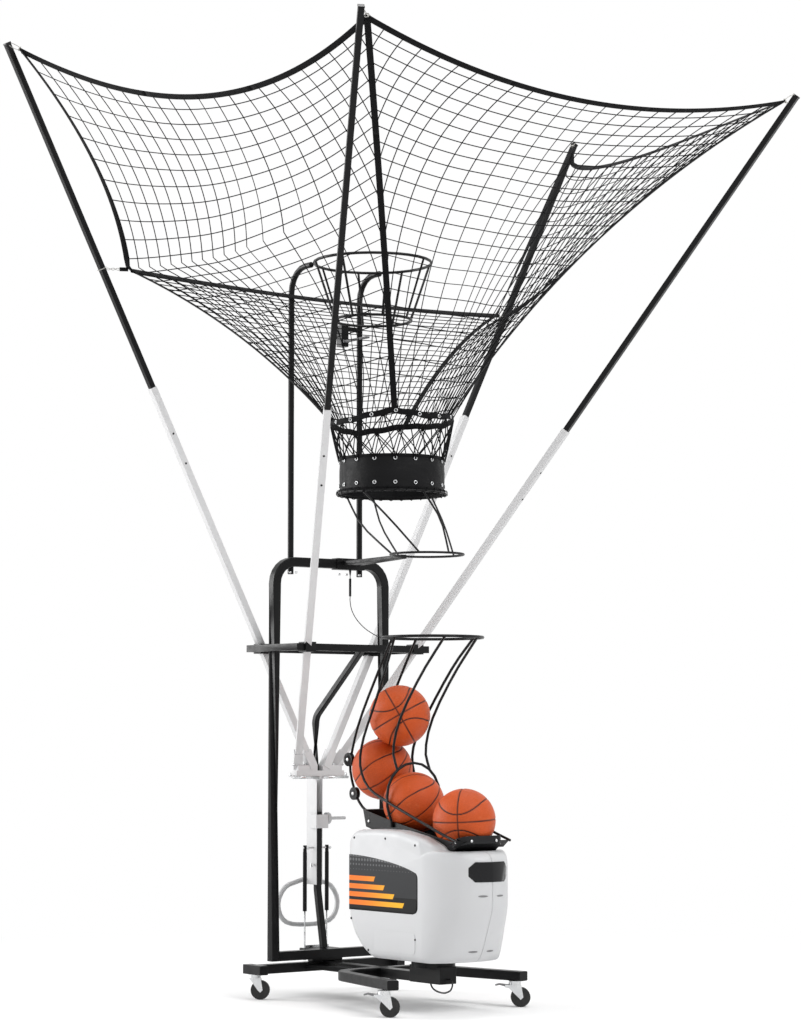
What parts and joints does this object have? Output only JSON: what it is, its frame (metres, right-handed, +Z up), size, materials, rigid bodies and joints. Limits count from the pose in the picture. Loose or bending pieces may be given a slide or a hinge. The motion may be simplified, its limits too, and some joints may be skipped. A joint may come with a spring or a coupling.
{
  "type": "basketball shooting machine",
  "caption": "Wheeled ball returner: a folding net on telescopic poles feeds balls through a chute into a turning thrower head.",
  "frame": {"origin": "under the middle of the net's footprint, on the floor", "axes": "+Z up, +Y to the back where the upright stands, -Y the way the head throws, +X the machine's left seen from the front"},
  "size_m": [2.9362, 1.8095, 3.7205],
  "materials": {
    "black": "black powder coat",
    "white": "white paint",
    "shell": "light grey",
    "zinc": "zinc plated",
    "rubber": "black",
    "grey": "grey",
    "tray": "charcoal",
    "fabric": "black cord and webbing",
    "gloss": "black gloss",
    "ball": "orange brown, pebbled"
  },
  "bodies": {
    "base": {"base_crossbar": "black", "base_spine": "black", "front_wishbone": "black", "foot_pad": "black", "frame_foot": "black", "upright_frame": "black", "mast_leg": "black", "strut_rods": "zinc", "basket": "black", "basket_post_left": "black", "basket_post_right": "black", "shot_sensor": "black", "chute": "black", "chute_clamp": "black", "collar": "fabric", "net_front": "fabric", "net_left": "fabric", "net_rear": "fabric", "net_right": "fabric", "cable_plug": "black", "sensor_cable": "black", "power_cord": "black"},
    "net_frame": {"mast_sleeve": "white", "pole_hub": "white", "spreader": "black", "pole_lower_a": "white", "pole_lower_b": "white", "pole_lower_c": "white", "pole_lower_d": "white", "strut_cylinder_left": "black", "strut_cylinder_right": "black", "loop_handle": "grey"},
    "head": {"body_left": "shell", "body_right": "shell", "body_window": "gloss", "hopper_cage": "black", "hopper_tray": "tray", "drive_motor": "tray", "ball_1": "ball", "ball_2": "ball", "ball_3": "ball", "ball_4": "ball"},
    "throw_arm": {"throw_arm": "zinc"},
    "clamp_knob": {"clamp_knob": "grey"},
    "lock_plunger": {"lock_plunger": "zinc"},
    "sensor_lever": {"sensor_lever": "grey"},
    "pole_a": {"pole_upper_a": "black"},
    "pole_b": {"pole_upper_b": "black"},
    "pole_c": {"pole_upper_c": "black"},
    "pole_d": {"pole_upper_d": "black"},
    "caster_rear_left": {"caster_fork_rear_left": "zinc"},
    "wheel_rear_left": {"caster_wheel_rear_left": "rubber"},
    "caster_rear_right": {"caster_fork_rear_right": "zinc"},
    "wheel_rear_right": {"caster_wheel_rear_right": "rubber"},
    "caster_front_left": {"caster_fork_front_left": "zinc"},
    "wheel_front_left": {"caster_wheel_front_left": "rubber"},
    "brake_front_left": {"caster_brake_front_left": "rubber"},
    "caster_front_right": {"caster_fork_front_right": "zinc"},
    "wheel_front_right": {"caster_wheel_front_right": "rubber"},
    "brake_front_right": {"caster_brake_front_right": "rubber"}
  },
  "joints": [
    {"name": "net_lift", "type": "slide", "parent": "base", "child": "net_frame", "axis": [0, 0, 1], "range_m": [-0.13, 0]},
    {"name": "head_turn", "type": "hinge", "parent": "base", "child": "head", "pos_m": [0, 0.073, 0.192], "axis": [0, 0, 1], "range_deg": [-90, 90]},
    {"name": "arm_throw", "type": "hinge", "parent": "head", "child": "throw_arm", "pos_m": [0, -0.004, 0.345], "axis": [1, 0, 0], "range_deg": [0, 65]},
    {"name": "knob_turn", "type": "hinge", "parent": "net_frame", "child": "clamp_knob", "pos_m": [0.0303, 0.8212, 0.709], "axis": [1, 0, 0], "continuous": true},
    {"name": "plunger_pull", "type": "slide", "parent": "net_frame", "child": "lock_plunger", "axis": [-1, 0, 0], "range_m": [0, 0.01], "stiffness_N_per_m": 400},
    {"name": "lever_press", "type": "hinge", "parent": "base", "child": "sensor_lever", "pos_m": [0.086, 0.7635, 2.676], "axis": [1, 0, 0], "range_deg": [0, 12], "stiffness_Nm_per_rad": 0.5, "springref_deg": -5.73},
    {"name": "pole_a_slide", "type": "slide", "parent": "net_frame", "child": "pole_a", "axis": [-0.4541, 0.0156, 0.8908], "range_m": [-1.25, 0]},
    {"name": "pole_b_slide", "type": "slide", "parent": "net_frame", "child": "pole_b", "axis": [-0.2947, -0.5267, 0.7973], "range_m": [-1.25, 0]},
    {"name": "pole_c_slide", "type": "slide", "parent": "net_frame", "child": "pole_c", "axis": [0.2947, -0.5267, 0.7973], "range_m": [-1.25, 0]},
    {"name": "pole_d_slide", "type": "slide", "parent": "net_frame", "child": "pole_d", "axis": [0.4541, 0.0156, 0.8908], "range_m": [-1.25, 0]},
    {"name": "swivel_rear_left", "type": "hinge", "parent": "base", "child": "caster_rear_left", "pos_m": [-0.33545, 0.7954, 0.0997], "axis": [0, 0, 1], "continuous": true},
    {"name": "roll_rear_left", "type": "hinge", "parent": "caster_rear_left", "child": "wheel_rear_left", "pos_m": [-0.318, 0.782, 0.038], "axis": [0.6091, 0.7931, 0], "continuous": true},
    {"name": "swivel_rear_right", "type": "hinge", "parent": "base", "child": "caster_rear_right", "pos_m": [0.30055, 0.7954, 0.0997], "axis": [0, 0, 1], "continuous": true},
    {"name": "roll_rear_right", "type": "hinge", "parent": "caster_rear_right", "child": "wheel_rear_right", "pos_m": [0.318, 0.782, 0.038], "axis": [0.6091, 0.7931, 0], "continuous": true},
    {"name": "swivel_front_left", "type": "hinge", "parent": "base", "child": "caster_front_left", "pos_m": [-0.33545, -0.0556, 0.0997], "axis": [0, 0, 1], "continuous": true},
    {"name": "roll_front_left", "type": "hinge", "parent": "caster_front_left", "child": "wheel_front_left", "pos_m": [-0.318, -0.069, 0.038], "axis": [0.6091, 0.7931, 0], "continuous": true},
    {"name": "brake_press_front_left", "type": "hinge", "parent": "caster_front_left", "child": "brake_front_left", "pos_m": [-0.35924, -0.03733, 0.0815], "axis": [-0.6091, -0.7931, 0], "range_deg": [0, 12]},
    {"name": "swivel_front_right", "type": "hinge", "parent": "base", "child": "caster_front_right", "pos_m": [0.30055, -0.0556, 0.0997], "axis": [0, 0, 1], "continuous": true},
    {"name": "roll_front_right", "type": "hinge", "parent": "caster_front_right", "child": "wheel_front_right", "pos_m": [0.318, -0.069, 0.038], "axis": [0.6091, 0.7931, 0], "continuous": true},
    {"name": "brake_press_front_right", "type": "hinge", "parent": "caster_front_right", "child": "brake_front_right", "pos_m": [0.27676, -0.03733, 0.0815], "axis": [-0.6091, -0.7931, 0], "range_deg": [0, 12]}
  ]
}
